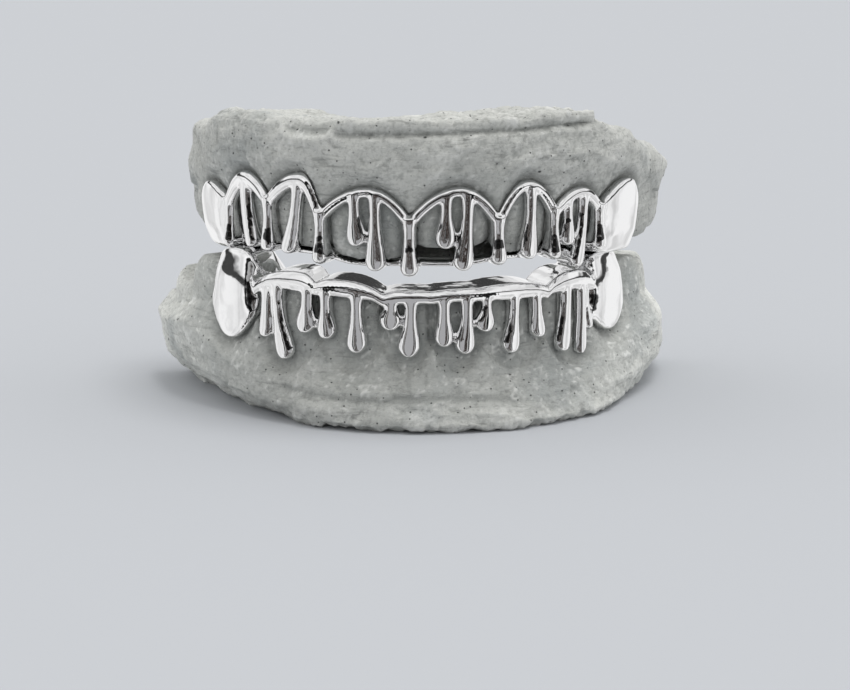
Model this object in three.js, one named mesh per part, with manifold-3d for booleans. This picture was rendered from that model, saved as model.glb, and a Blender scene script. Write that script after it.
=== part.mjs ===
// A pair of open-face grillz with hanging drips, on the two dental stone casts that carry them.
// Millimetres, +Z up. The front teeth look along -Y and +X is to the right of someone who faces them.
import * as THREE from "three";
import { mergeVertices } from "three/addons/utils/BufferGeometryUtils.js";
import Module from "manifold-3d";

const wasm = await Module();
wasm.setup();

// Dental arches: seen from above, the line of the tooth faces is half an ellipse.
const upperArchHalfWidth = 25.9;
const upperArchDepth = 31.6;
const lowerArchHalfWidth = 24.8;
const lowerArchDepth = 29.0;
const upperTurnDegrees = -4.5;
const lowerTurnDegrees = 7.2;
const turnCentreDepth = 22;
const lowerSetBack = 1.2;
const lowerShiftLeft = 1.9;
const upperMidline = 0.2;
const lowerMidline = -0.2;

// Heights: the lower cast stands on Z 0.
const lowerBiteHeight = 13.1;
const frontOpening = 3.4;
const lowerCrownHeight = 7.4;
const upperCrownHeight = 7.8;
const upperCastHeight = 14.8;
const upperToothWidth = 9.0;
const lowerToothWidth = 7.0;

// Metal: one soldered casting on each jaw.
const clearance = 0.3;
const backWall = 0.6;
const lipWall = 0.35;
const plateOverlap = 0.06;
const faceWall = 0.7;
const strandProud = 1.1;
const postProud = 1.3;
const strandRoot = 1.8;
const frameWidth = 1.15;
const postWidth = 1.3;
const dripWidth = 1.3;
const dropWidth = 2.2;

// Stone: how far the cast reaches out from the tooth faces and in behind them.
const gumRoll = 0.45;
const upperFlare = 1.6;
const lowerFlare = 4.6;
const ridgeThickness = 11.5;
const toothGroove = 1.0;
const edgeTaper = 0.7;
const edgeNotch = 0.5;

const upperBiteHeight = lowerBiteHeight + frontOpening;
const grid = 0.004;

function table(names, ...rows) {
  const keys = names.split(" ");
  return rows.map((row) => Object.fromEntries(keys.map((key, i) => [key, row[i]])));
}

// Teeth from the viewer's left to right. width is a share of the jaw's tooth width. neck, side, edge and
// seam are shares of the crown height, from the bite line towards the gum: the gum line at its peak and at
// the tooth's right side, and the biting edge at its peak and at the right side. apex and peak are where
// the gum line and the edge peak across the tooth. cut and root are the tooth's depth from front to back,
// at its edge and at its neck, as shares of the ridge thickness. crest scales the frame's width at its
// peak, and without one there is no frame. worn is how much of the crown the stone lacks, and bar is where
// the biting bar ends on the face.
const upperTeeth = table(
  "name width apex neck side edge seam peak cut root crest worn bar",
  ["molar_left", 1.07, 0.5, 0.64, 0.5, 0.02, 0.05, 0.5, 0.7, 0.84, 0, 0, 0],
  ["premolar_left", 0.74, 0.5, 0.7, 0.52, 0.03, 0.09, 0.5, 0.55, 0.72, 0, 0, 0],
  ["cap_left", 0.73, 0.45, 0.84, 0.66, 0.1, 0.16, 0.5, 0.5, 0.7, 0, 0, 0],
  ["canine_left", 0.7, 0.47, 1.08, 0.77, 0.15, 0.18, 0.5, 0.22, 0.62, 1.5, 0, 0],
  ["lateral_left", 0.71, 0.66, 1.16, 0.66, 0.15, 0.15, 0.5, 0.16, 0.54, 1.4, 0, 0],
  ["central_left", 1.02, 0.56, 1.03, 0.63, 0.06, 0.09, 0.5, 0.16, 0.56, 1, 0, 0],
  ["central_right", 0.98, 0.56, 1.05, 0.62, 0.07, 0.13, 0.5, 0.16, 0.56, 1, 0.15, 0],
  ["lateral_right", 0.69, 0.5, 1.09, 0.69, 0.13, 0.16, 0.5, 0.16, 0.54, 1, 0, 0],
  ["canine_right", 0.66, 0.55, 0.93, 0.65, 0.14, 0.16, 0.5, 0.22, 0.62, 1.1, 0, 0],
  ["cap_right", 0.8, 0.62, 0.95, 0.55, 0.1, 0.08, 0.5, 0.5, 0.7, 0, 0, 0],
  ["premolar_right", 0.74, 0.5, 0.74, 0.48, 0, 0.02, 0.5, 0.55, 0.72, 0, 0, 0],
  ["molar_right", 1.07, 0.5, 0.66, 0.45, 0, 0, 0.5, 0.7, 0.84, 0, 0, 0],
);
const lowerTeeth = table(
  "name width apex neck side edge seam peak cut root crest worn bar",
  ["molar_left", 1.4, 0.5, 0.6, 0.5, 0.3, 0.1, 0.5, 0.7, 0.84, 0, 0, 0],
  ["premolar_left", 0.97, 0.5, 0.4, 0.25, -0.26, -0.2, 0.6, 0.45, 0.7, 0, 0, 0],
  ["cap_left", 0.96, 0.5, 0.78, 0.35, -0.34, 0.02, 0.62, 0.2, 0.6, 0, 0, -0.1],
  ["canine_left", 1.03, 0.55, 1.04, 0.66, -0.22, -0.076, 0.74, 0.14, 0.56, 0, 0, -0.05],
  ["lateral_left", 0.97, 0.5, 1.02, 0.64, -0.15, 0.03, 0.3, 0.14, 0.5, 0, 0, 0],
  ["central_left", 0.69, 0.5, 0.98, 0.62, -0.015, -0.005, 0.5, 0.14, 0.48, 0, 0, 0.045],
  ["central_right", 0.71, 0.5, 0.98, 0.62, -0.03, -0.03, 0.5, 0.14, 0.48, 0, 0, 0.05],
  ["lateral_right", 1.06, 0.5, 1, 0.64, -0.057, 0.05, 0.35, 0.14, 0.5, 0, 0, 0.075],
  ["canine_right", 0.94, 0.5, 1.02, 0.5, -0.115, 0.04, 0.55, 0.14, 0.56, 0, 0, 0.06],
  ["cap_right", 1, 0.45, 0.78, 0.35, -0.19, -0.1, 0.3, 0.2, 0.6, 0, 0, 0.13],
  ["premolar_right", 0.94, 0.5, 0.6, 0.45, -0.1, 0, 0.5, 0.45, 0.7, 0, 0, 0],
  ["molar_right", 1.4, 0.5, 0.7, 0.6, 0.1, 0.1, 0.5, 0.7, 0.84, 0, 0, 0],
);

// Drips: root and tip are places across the tooth. from and reach are where it starts and ends, as shares
// of the crown height from the bite line. waist and drop scale its two widths.
const upperDrips = table(
  "tooth root from tip reach waist drop",
  ["canine_left", 0.47, 0.97, 0.6, 0.07, 1.25, 0.75],
  ["lateral_left", 0.6, 1.04, 0.42, 0.07, 1, 0.85],
  ["central_left", 0.4, 0.96, 0.42, 0.25, 1, 0.98],
  ["central_left", 0.63, 0.96, 0.635, -0.06, 1, 1],
  ["central_right", 0.41, 0.95, 0.4, 0.24, 1, 1.02],
  ["central_right", 0.65, 0.97, 0.6, -0.05, 1.05, 1],
  ["lateral_right", 0.56, 1, 0.53, 0.05, 0.95, 0.92],
  ["canine_right", 0.28, 0.8, 0.28, 0.17, 0.85, 0.75],
  ["canine_right", 0.62, 0.87, 0.48, -0.13, 0.9, 0.78],
);
const lowerDrips = table(
  "tooth root from tip reach waist drop",
  ["canine_left", 0.22, -0.06, 0.18, 0.67, 1.25, 0.82],
  ["canine_left", 0.38, -0.12, 0.49, 0.94, 1, 1.05],
  ["canine_left", 0.86, -0.1, 0.83, 0.54, 1.05, 1.05],
  ["lateral_left", 0.14, -0.06, 0.15, 0.6, 0.95, 0.95],
  ["lateral_left", 0.61, -0.06, 0.61, 0.77, 1.05, 1],
  ["central_left", 0.17, -0.02, 0.15, 0.44, 1.1, 1.08],
  ["central_left", 0.57, -0.02, 0.53, 0.81, 1.1, 1.1],
  ["central_right", 0.24, -0.02, 0.24, 0.68, 1.05, 0.95],
  ["central_right", 0.7, -0.02, 0.67, 0.79, 1.05, 1],
  ["lateral_right", 0.075, -0.02, 0.06, 0.5, 0.9, 1],
  ["lateral_right", 0.48, 0, 0.44, 0.83, 0.95, 0.95],
  ["lateral_right", 0.83, 0, 0.87, 0.66, 0.95, 0.86],
  ["canine_right", 0.41, -0.08, 0.36, 0.92, 1.15, 0.95],
  ["canine_right", 0.76, -0.08, 0.78, 1.04, 0.95, 0.76],
  ["canine_right", 0.91, 0.02, 0.98, 0.7, 0.6, 0.5],
);

// Posts stand at the right side of a tooth. reach is as for a drip, and wide scales the post's width.
const upperPosts = table(
  "tooth reach wide",
  ["cap_left", 0.02, 0.8],
  ["canine_left", 0.08, 0.95],
  ["lateral_left", 0.01, 0.95],
  ["central_left", -0.09, 1.1],
  ["central_right", 0.03, 1.05],
  ["lateral_right", 0.03, 0.85],
  ["canine_right", 0.06, 0.95],
);

// The cast's wall along the arch, from the left end at -1 to the right end at 1. gum, bulge and foot scale
// the reach of the wall, near the gum, lower down and at the flat. height scales the height from the bite
// line to the flat, and sink is how far the flat drops behind, as a share of that height. tuck sets the
// teeth and the wall in from the arch's line, as a share of the ridge thickness.
const upperRim = table(
  "at gum bulge foot height sink tuck",
  [-1, 0.1, 0, -0.1, 0.66, 0.04, 0.06],
  [-0.72, 0.1, 0, 0, 0.77, 0.05, 0.03],
  [-0.52, 0.4, 0.6, 0.4, 0.95, 0.09, 0],
  [-0.2, 0.5, 0.8, 0.6, 0.97, 0.1, 0],
  [0.12, 0.6, 0.9, 0.7, 0.99, 0.06, 0],
  [0.42, 0.5, 0.8, 0.6, 1, 0.05, 0],
  [0.56, 0.4, 0.7, 0.4, 0.84, 0.04, 0],
  [0.7, 0.3, 0.5, 0.1, 0.67, 0.03, 0.03],
  [1, 0.3, 0.3, -0.2, 0.48, 0.02, 0.14],
);
const lowerRim = table(
  "at gum bulge foot height sink tuck",
  [-1, 0.3, 0.2, -0.3, 1, 0, 0.06],
  [-0.7, 0.32, 0.2, -0.5, 1, 0, 0],
  [-0.45, 0.3, 0.4, -0.1, 1, 0, 0],
  [-0.2, 0.3, 0.75, 0.8, 1, 0, 0],
  [0.1, 0.3, 0.75, 1, 1, 0, 0],
  [0.35, 0.3, 0.75, 0.95, 1, 0, 0],
  [0.6, 0.35, 0.6, 0.4, 1, 0, -0.02],
  [0.75, 0.3, 0.42, 0, 1, 0, -0.12],
  [1, 0.3, 0.35, -0.2, 1, 0, -0.12],
);

// Places across a tooth where the cast has a section, and the finer ones for the metal.
const acrossTooth = [0, 0.06, 0.22, 0.5, 0.78, 0.94];
const acrossFrame = [0, 0.12, 0.28, 0.42, 0.56, 0.7, 0.86, 1];

function mix(a, b, share) {
  return a + (b - a) * share;
}

// The arch's line by its length from the midline, with w outwards from the tooth faces and h from the bite
// towards the gum.
function makeJaw(shape) {
  const steps = 600;
  const widest = 0.6 * Math.PI;
  const lengths = [0];
  for (let i = 1; i <= steps; i++) {
    const t = (widest * (i - 0.5)) / steps;
    const pace = Math.hypot(shape.halfWidth * Math.cos(t), shape.depth * Math.sin(t));
    lengths.push(lengths[i - 1] + (pace * widest) / steps);
  }
  const angleAt = (s) => {
    const length = Math.min(Math.abs(s), lengths[steps]);
    let i = lengths.findIndex((value) => value >= length);
    i = Math.max(i, 1);
    const share = (length - lengths[i - 1]) / (lengths[i] - lengths[i - 1]);
    return (Math.sign(s) * widest * (i - 1 + share)) / steps;
  };
  const turn = THREE.MathUtils.degToRad(shape.turnDegrees);
  const place = ([s, w, h]) => {
    const t = angleAt(s);
    const nx = shape.depth * Math.sin(t);
    const ny = -shape.halfWidth * Math.cos(t);
    const size = Math.hypot(nx, ny);
    const x = shape.halfWidth * Math.sin(t) + (nx / size) * w;
    const y = shape.depth * (1 - Math.cos(t)) + (ny / size) * w - turnCentreDepth;
    return [
      x * Math.cos(turn) - y * Math.sin(turn) - shape.shiftLeft,
      x * Math.sin(turn) + y * Math.cos(turn) + turnCentreDepth + shape.setBack,
      shape.bite + shape.gumward * h,
    ];
  };
  const left = shape.teeth.slice(0, shape.teeth.length / 2);
  const leftLength = left.reduce((sum, tooth) => sum + tooth.width * shape.toothWidth, 0);
  let start = shape.midline - leftLength;
  const teeth = shape.teeth.map((row, i) => {
    const width = row.width * shape.toothWidth;
    const last = shape.teeth[Math.max(i - 1, 0)];
    const tooth = { ...row, width, start, before: last.side, joined: last.seam, centre: start + width / 2 };
    start += width;
    return tooth;
  });
  return { ...shape, teeth, place, first: teeth[0].start, last: start };
}

function toothNamed(jaw, name) {
  return jaw.teeth.find((tooth) => tooth.name === name);
}

// Height of the gum line at a place across a tooth.
function gumLine(jaw, tooth, u) {
  const out = u < tooth.apex ? 1 - u / tooth.apex : (u - tooth.apex) / (1 - tooth.apex);
  const side = u < tooth.apex ? tooth.before : tooth.side;
  return jaw.crown * mix(tooth.neck, side, out * out);
}

// Height of the biting edge at a place across a tooth.
function edgeLine(jaw, tooth, u) {
  const out = u < tooth.peak ? 1 - u / tooth.peak : (u - tooth.peak) / (1 - tooth.peak);
  const seam = u < tooth.peak ? tooth.joined : tooth.seam;
  return jaw.crown * mix(tooth.edge, seam, out ** 2.5);
}

// A value of the teeth that runs evenly from the middle of one tooth to the middle of the next.
function alongTeeth(jaw, s, name) {
  const { teeth } = jaw;
  const after = teeth.findIndex((tooth) => tooth.centre > s);
  if (after < 0) return teeth[teeth.length - 1][name];
  if (after === 0) return teeth[0][name];
  const a = teeth[after - 1];
  const b = teeth[after];
  return mix(a[name], b[name], (s - a.centre) / (b.centre - a.centre));
}

function rimAt(rim, share) {
  const after = Math.max(rim.findIndex((row) => row.at >= share - 1e-9), 1);
  const a = rim[after - 1];
  const b = rim[after];
  const part = (share - a.at) / (b.at - a.at);
  return Object.fromEntries(Object.keys(a).map((key) => [key, mix(a[key], b[key], part)]));
}

// Moves a closed outline outwards by the same distance all round.
function offset(outline, distance) {
  const area = outline.reduce((sum, [x, y], i) => {
    const [nextX, nextY] = outline[(i + 1) % outline.length];
    return sum + x * nextY - nextX * y;
  }, 0);
  const out = Math.sign(area);
  const normal = ([ax, ay], [bx, by]) => {
    const length = Math.hypot(bx - ax, by - ay);
    return [(out * (by - ay)) / length, (-out * (bx - ax)) / length];
  };
  return outline.map((point, i) => {
    const before = outline[(i + outline.length - 1) % outline.length];
    const after = outline[(i + 1) % outline.length];
    const a = normal(before, point);
    const b = normal(point, after);
    const spread = distance / (1 + a[0] * b[0] + a[1] * b[1]);
    return [point[0] + (a[0] + b[0]) * spread, point[1] + (a[1] + b[1]) * spread];
  });
}

// Outline of a cast across the arch, as pairs of w and h: the outer wall, the gum, the tooth from its neck
// over the biting edge to the back, and the inner wall.
const neckIndex = 4;
const frontEdgeIndex = 7;
const backNeckIndex = 11;
function castOutline(jaw, tooth, u, stone) {
  const s = tooth.start + u * tooth.width;
  const share = (2 * (s - jaw.first)) / (jaw.last - jaw.first) - 1;
  const rim = rimAt(jaw.rim, share);
  const side = Math.abs(2 * u - 1) ** 5;
  const groove = toothGroove * side;
  const gum = gumLine(jaw, tooth, u);
  const edge = edgeLine(jaw, tooth, u) + stone * (tooth.worn * jaw.crown + edgeNotch * side);
  const cut = alongTeeth(jaw, s, "cut") * ridgeThickness;
  const root = alongTeeth(jaw, s, "root") * ridgeThickness;
  const flat = rim.height * jaw.height;
  const flatBehind = flat - rim.sink * jaw.height;
  const backNeck = mix(edge, gum, 0.8);
  const level = alongTeeth(jaw, s, "neck") * jaw.crown + gumRoll;
  const outline = [
    [rim.foot * jaw.flare, flat],
    [rim.bulge * jaw.flare, mix(level, flat, 0.6)],
    [gumRoll + rim.gum * jaw.flare, mix(level, flat, 0.15)],
    [gumRoll, gum + gumRoll],
    [-0.6 * groove, gum],
    [-groove, mix(edge, gum, 0.55)],
    [-groove - 0.3 * edgeTaper, mix(edge, gum, 0.22)],
    [-groove - edgeTaper, edge],
    [-edgeTaper - cut, edge],
    [groove * 0.5 - edgeTaper - mix(cut, root, 0.4), mix(edge, backNeck, 0.4)],
    [groove * 0.5 - mix(cut, root, 0.9), mix(edge, backNeck, 0.8)],
    [-root, backNeck],
    [-ridgeThickness, mix(backNeck, flatBehind, 0.35)],
    [-ridgeThickness, flatBehind],
  ];
  return outline.map(([w, h]) => [w - rim.tuck * ridgeThickness, h]);
}

// A closed solid from rings of points in jaw space, each ring the same outline at the next station.
function loft(jaw, rings) {
  const points = rings.flat().map(jaw.place);
  const size = rings[0].length;
  const triangles = [];
  for (let r = 0; r + 1 < rings.length; r++) {
    for (let i = 0; i < size; i++) {
      const a = r * size + i;
      const b = r * size + ((i + 1) % size);
      triangles.push(a, b, a + size, b, b + size, a + size);
    }
  }
  const closeEnd = (ring, base, forward) => {
    const outline = flatten(ring);
    const way = Math.sign(THREE.ShapeUtils.area(outline)) * forward;
    for (const [a, b, c] of THREE.ShapeUtils.triangulateShape(outline, [])) {
      const same = THREE.ShapeUtils.area([outline[a], outline[b], outline[c]]) * way > 0;
      triangles.push(base + a, base + (same ? b : c), base + (same ? c : b));
    }
  };
  closeEnd(rings[0], 0, -1);
  closeEnd(rings[rings.length - 1], (rings.length - 1) * size, 1);
  return solid(points, triangles);
}

// The ring in its own plane, whichever way that plane stands.
function flatten(ring) {
  const spread = ring.map(([s, w, h]) => [s - ring[0][0], w, h - ring[0][2]]);
  const far = spread.reduce((a, b) => (Math.hypot(b[0], b[2]) > Math.hypot(a[0], a[2]) ? b : a));
  const reach = Math.hypot(far[0], far[2]);
  return spread.map(([s, w, h]) => new THREE.Vector2(w, (s * far[0] + h * far[2]) / reach));
}

function solid(points, triangles) {
  const build = (order) => {
    const geometry = new THREE.BufferGeometry();
    geometry.setAttribute("position", new THREE.Float32BufferAttribute(points.flat(), 3));
    geometry.setIndex(order);
    const merged = mergeVertices(geometry, 1e-4);
    return new wasm.Manifold(
      new wasm.Mesh({
        numProp: 3,
        vertProperties: new Float32Array(merged.attributes.position.array),
        triVerts: new Uint32Array(merged.index.array),
      }),
    );
  };
  const made = build(triangles);
  return made.volume() > 0 ? made : build([...triangles].reverse());
}

function union(solids) {
  return solids.reduce((sum, one) => sum.add(one));
}

function stationsOf(teeth) {
  const stations = teeth.flatMap((tooth) => acrossTooth.map((u) => ({ tooth, u })));
  stations.push({ tooth: teeth[teeth.length - 1], u: 1 });
  return stations;
}

function ringAt(tooth, u, outline) {
  const s = tooth.start + u * tooth.width;
  return outline.map(([w, h]) => [s, w, h]);
}

function makeCast(jaw, grow) {
  const rings = stationsOf(jaw.teeth).map(({ tooth, u }) => {
    const outline = castOutline(jaw, tooth, u, 1);
    return ringAt(tooth, u, grow ? offset(outline, grow) : outline);
  });
  return loft(jaw, rings);
}

// A rounded strand through points of s, h and half its width, from behind the tooth face to its proud
// front.
function strand(jaw, path, proud) {
  const rings = path.map(([s, h, half], i) => {
    const before = path[Math.max(i - 1, 0)];
    const after = path[Math.min(i + 1, path.length - 1)];
    const length = Math.hypot(after[0] - before[0], after[1] - before[1]);
    const acrossS = (after[1] - before[1]) / length;
    const acrossH = -(after[0] - before[0]) / length;
    const at = (k, w) => [s + acrossS * k * half, w, h + acrossH * k * half];
    const soft = Math.min(proud, clearance + half);
    const shoulder = mix(clearance, soft, 0.4);
    const left = [at(-1, -strandRoot), at(-1, shoulder), at(-0.6, soft)];
    return [...left, at(0.6, soft), at(1, shoulder), at(1, -strandRoot)];
  });
  return loft(jaw, rings);
}

// Adds a rounded end after the last point of a path.
function roundEnd(path) {
  const [s, h, half] = path[path.length - 1];
  const [fromS, fromH] = path[path.length - 2];
  const length = Math.hypot(s - fromS, h - fromH);
  const ends = [30, 60, 80].map((degrees) => {
    const angle = THREE.MathUtils.degToRad(degrees);
    const reach = (half * Math.sin(angle)) / length;
    return [s + (s - fromS) * reach, h + (h - fromH) * reach, half * Math.cos(angle)];
  });
  return [...path, ...ends];
}

// A drip: a narrow neck that swells into a drop at its tip.
function makeDrip(jaw, row) {
  const tooth = toothNamed(jaw, row.tooth);
  const waist = (dripWidth * row.waist) / 2;
  const drop = (dropWidth * row.drop) / 2;
  const rootS = tooth.start + row.root * tooth.width;
  const tipS = tooth.start + row.tip * tooth.width;
  const rootH = row.from * jaw.crown;
  const tipH = row.reach * jaw.crown;
  const dropH = tipH + Math.sign(rootH - tipH) * drop;
  const shape = [
    { share: 0, half: waist * 1.25 },
    { share: 0.22, half: waist },
    { share: 0.55, half: mix(waist, drop, 0.1) },
    { share: 0.82, half: mix(waist, drop, 0.75) },
    { share: 1, half: drop },
  ];
  const path = shape.map(({ share, half }) => {
    return [mix(rootS, tipS, share * share), mix(rootH, dropH, share), half];
  });
  return strand(jaw, roundEnd(path), strandProud);
}

// A post between two teeth, from the meeting of their frames to the bite.
function makePost(jaw, row) {
  const tooth = toothNamed(jaw, row.tooth);
  const s = tooth.start + tooth.width;
  const half = (postWidth * row.wide) / 2;
  const top = jaw.crown * tooth.side + 0.3 * half;
  const bottom = jaw.crown * row.reach + half;
  const shape = [
    { share: 0, half: half * 1.2 },
    { share: 0.35, half },
    { share: 0.7, half: half * 1.05 },
    { share: 1, half: half * 1.4 },
  ];
  const path = shape.map(({ share, half: wide }) => [s, mix(top, bottom, share), wide]);
  return strand(jaw, roundEnd(path), postProud);
}

// The frame along the gum line of one tooth, its outer border on the gum line.
function makeFrame(jaw, tooth) {
  const path = acrossFrame.map((u) => {
    const side = u < tooth.apex ? tooth.before : tooth.side;
    const rise = (gumLine(jaw, tooth, u) / jaw.crown - side) / (tooth.neck - side);
    const half = (frameWidth / 2) * mix(1, tooth.crest, rise);
    return [tooth.start + u * tooth.width, gumLine(jaw, tooth, u) - half, half];
  });
  return strand(jaw, path, strandProud);
}

// The plate behind the front teeth, folded under their edges, or over them and down the face as a bar.
function makePlate(jaw, teeth, caps) {
  const ends = [{ tooth: caps[0], u: 1 - plateOverlap }, { tooth: caps[1], u: plateOverlap }];
  const stations = [ends[0], ...stationsOf(teeth), ends[1]];
  const rings = stations.map(({ tooth, u }) => {
    const last = castOutline(jaw, tooth, u, 0);
    const inside = tooth.worn ? 0.6 * clearance : -backWall;
    const inner = offset(last, inside).slice(frontEdgeIndex - 1, backNeckIndex);
    const outer = offset(last, clearance + backWall).slice(frontEdgeIndex - 1, backNeckIndex);
    const s = tooth.start + u * tooth.width;
    const edge = last[frontEdgeIndex][1];
    if (jaw.bar) {
      const fold = Math.max(alongTeeth(jaw, s, "bar") * jaw.crown, edge + backWall);
      inner[0] = [inner[1][0], fold];
      outer[0] = [strandProud, fold];
      outer[1] = [strandProud, mix(outer[1][1], fold, 0.25)];
    } else {
      inner[1] = [-edgeTaper - clearance, inner[1][1]];
      inner[0] = [-edgeTaper - clearance / 2, mix(inner[1][1], edge - clearance, 0.5)];
      outer[0] = [-edgeTaper, edge - clearance];
      outer[1] = [-edgeTaper, edge - clearance - lipWall];
    }
    return ringAt(tooth, u, [...outer, ...inner.reverse()]);
  });
  return loft(jaw, rings);
}

// A cap that covers a whole tooth above its neck, front, edge and back.
function makeCap(jaw, tooth) {
  const rings = stationsOf([tooth]).map(({ u }) => {
    const body = castOutline(jaw, tooth, u, 0).slice(neckIndex, backNeckIndex + 1);
    const inset = mix(1, 0.88, Math.abs(2 * u - 1) ** 3);
    const outer = offset(body, (clearance + faceWall) * inset);
    outer[0][1] = body[0][1];
    outer[outer.length - 1][1] = body[body.length - 1][1];
    return ringAt(tooth, u, outer);
  });
  return loft(jaw, rings);
}

function makeGrill(jaw) {
  const front = jaw.teeth.filter((tooth) => /canine|lateral|central/.test(tooth.name));
  const caps = jaw.teeth.filter((tooth) => tooth.name.startsWith("cap"));
  const frames = front.filter((tooth) => tooth.crest);
  const metal = union([
    makePlate(jaw, front, caps),
    ...caps.map((tooth) => makeCap(jaw, tooth)),
    ...frames.map((tooth) => makeFrame(jaw, tooth)),
    ...jaw.posts.map((row) => makePost(jaw, row)),
    ...jaw.drips.map((row) => makeDrip(jaw, row)),
  ]);
  return metal.subtract(makeCast(jaw, clearance));
}

const upper = makeJaw({
  halfWidth: upperArchHalfWidth,
  depth: upperArchDepth,
  turnDegrees: upperTurnDegrees,
  shiftLeft: 0,
  setBack: 0,
  midline: upperMidline,
  bite: upperBiteHeight,
  gumward: 1,
  crown: upperCrownHeight,
  height: upperCastHeight,
  flare: upperFlare,
  toothWidth: upperToothWidth,
  teeth: upperTeeth,
  rim: upperRim,
  posts: upperPosts,
  drips: upperDrips,
  bar: false,
});
const lower = makeJaw({
  halfWidth: lowerArchHalfWidth,
  depth: lowerArchDepth,
  turnDegrees: lowerTurnDegrees,
  shiftLeft: lowerShiftLeft,
  setBack: lowerSetBack,
  midline: lowerMidline,
  bite: lowerBiteHeight,
  gumward: -1,
  crown: lowerCrownHeight,
  height: lowerBiteHeight,
  flare: lowerFlare,
  toothWidth: lowerToothWidth,
  teeth: lowerTeeth,
  rim: lowerRim,
  posts: [],
  drips: lowerDrips,
  bar: true,
});

const parts = [
  { name: "lower_cast", body: makeCast(lower, 0), color: 0xb4b6b0, metalness: 0, roughness: 0.95 },
  { name: "upper_cast", body: makeCast(upper, 0), color: 0xb4b6b0, metalness: 0, roughness: 0.95 },
  { name: "lower_grill", body: makeGrill(lower), color: 0xe3e4e6, metalness: 1, roughness: 0.12 },
  { name: "upper_grill", body: makeGrill(upper), color: 0xe3e4e6, metalness: 1, roughness: 0.12 },
];

// The surface of a body, its vertices rounded to a fine grid so that none lies almost on another.
function surfaceOf(body) {
  const mesh = body.getMesh();
  const rounded = Float32Array.from(mesh.vertProperties, (value) => Math.round(value / grid) * grid);
  const geometry = new THREE.BufferGeometry();
  geometry.setAttribute("position", new THREE.BufferAttribute(rounded, 3));
  geometry.setIndex(new THREE.BufferAttribute(mesh.triVerts, 1));
  const merged = mergeVertices(geometry, grid / 2);
  const order = merged.index.array;
  const faces = new Map();
  for (let i = 0; i < order.length; i += 3) {
    const face = [order[i], order[i + 1], order[i + 2]];
    if (new Set(face).size < 3) continue;
    const key = [...face].sort((a, b) => a - b).join();
    if (faces.has(key)) faces.delete(key);
    else faces.set(key, face);
  }
  merged.setIndex([...faces.values()].flat());
  merged.computeVertexNormals();
  return merged;
}

const group = new THREE.Group();
group.name = "grillz_on_dental_casts";
for (const { name, body, color, metalness, roughness } of parts) {
  const material = new THREE.MeshStandardMaterial({ color, metalness, roughness });
  const node = new THREE.Mesh(surfaceOf(body), material);
  node.name = name;
  group.add(node);
}

// The origin is the middle of the whole, on the ground.
const bounds = new THREE.Box3().setFromObject(group);
const middle = bounds.getCenter(new THREE.Vector3());
group.position.set(-middle.x, -middle.y, -bounds.min.z);

export default group;
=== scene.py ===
import math
import bmesh
import bpy
from mathutils import Matrix, Vector, kdtree, noise


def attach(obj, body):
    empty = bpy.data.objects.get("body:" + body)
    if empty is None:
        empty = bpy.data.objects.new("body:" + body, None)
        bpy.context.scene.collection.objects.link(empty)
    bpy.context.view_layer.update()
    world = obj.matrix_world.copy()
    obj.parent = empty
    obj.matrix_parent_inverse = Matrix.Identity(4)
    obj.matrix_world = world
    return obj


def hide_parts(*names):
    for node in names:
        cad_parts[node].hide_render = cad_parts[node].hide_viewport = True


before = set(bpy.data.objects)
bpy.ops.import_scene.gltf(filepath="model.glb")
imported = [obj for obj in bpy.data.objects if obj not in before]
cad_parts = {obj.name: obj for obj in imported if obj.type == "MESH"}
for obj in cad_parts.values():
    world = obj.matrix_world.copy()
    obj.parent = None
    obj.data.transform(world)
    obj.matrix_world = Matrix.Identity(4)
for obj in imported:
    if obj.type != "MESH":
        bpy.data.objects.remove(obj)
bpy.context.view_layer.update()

MM = 0.001

# The middle of the whole lies here from the point between the upper central teeth, in millimetres.
ORIGIN_X = 1.336
ORIGIN_Y = -15.262

# Sizes, in millimetres, as in the solids.
# Heights of the two bites above the ground, and lengths of the crowns.
BITE_LOWER = 13.1
BITE_UPPER = 16.5
CROWN_LOWER = 7.4
CROWN_UPPER = 7.8

# The gap between metal and stone, and the walls of the plate, its lip and the caps.
CLEARANCE = 0.3
BACK_WALL = 0.6
LIP_WALL = 0.35
FACE_WALL = 0.7

# How far a cap swells out past that wall before its form is smoothed, which the solids leave out.
PILLOW = 0.25

# How far strands and posts stand proud of the teeth, and how deep their roots go before they are cut.
PROUD = 1.1
POST_PROUD = 1.3
ROOT = 1.8

# Widths of the gum frames, the posts, and the drips at their necks and drops.
FRAME = 1.15
POST = 1.3
DRIP = 1.3
DROP = 2.2

# The stone: roll of the gum, thickness of the ridge, grooves between teeth, taper and notch of their edges.
GUM_ROLL = 0.45
RIDGE = 11.5
GROOVE = 1.0
EDGE_TAPER = 0.7
EDGE_NOTCH = 0.5

# Each jaw is turned about a point this far behind its front teeth.
TURN_CENTRE = 22

# The plate runs into each cap by this share of the cap's width.
CAP_LAP = 0.06

# How finely an arch is measured, and how far round it goes from the midline.
ARC_STEPS = 600
ARC_END = 0.6 * math.pi

# The fused skins: size of their mesh, in millimetres, and rounds of smoothing.
METAL_SKIN = 0.137
METAL_ROUNDS = 6
CAP_SKIN = 0.18
CAP_ROUNDS = 45
STONE_SKIN = 0.27
STONE_ROUNDS = 3
SMOOTHING = 0.5
SHARP_EDGE = math.radians(50)


def rows(names, *lines):
    """A small table: one name for each column, one line for each row."""
    keys = names.split()
    return [dict(zip(keys, line)) for line in lines]


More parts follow.
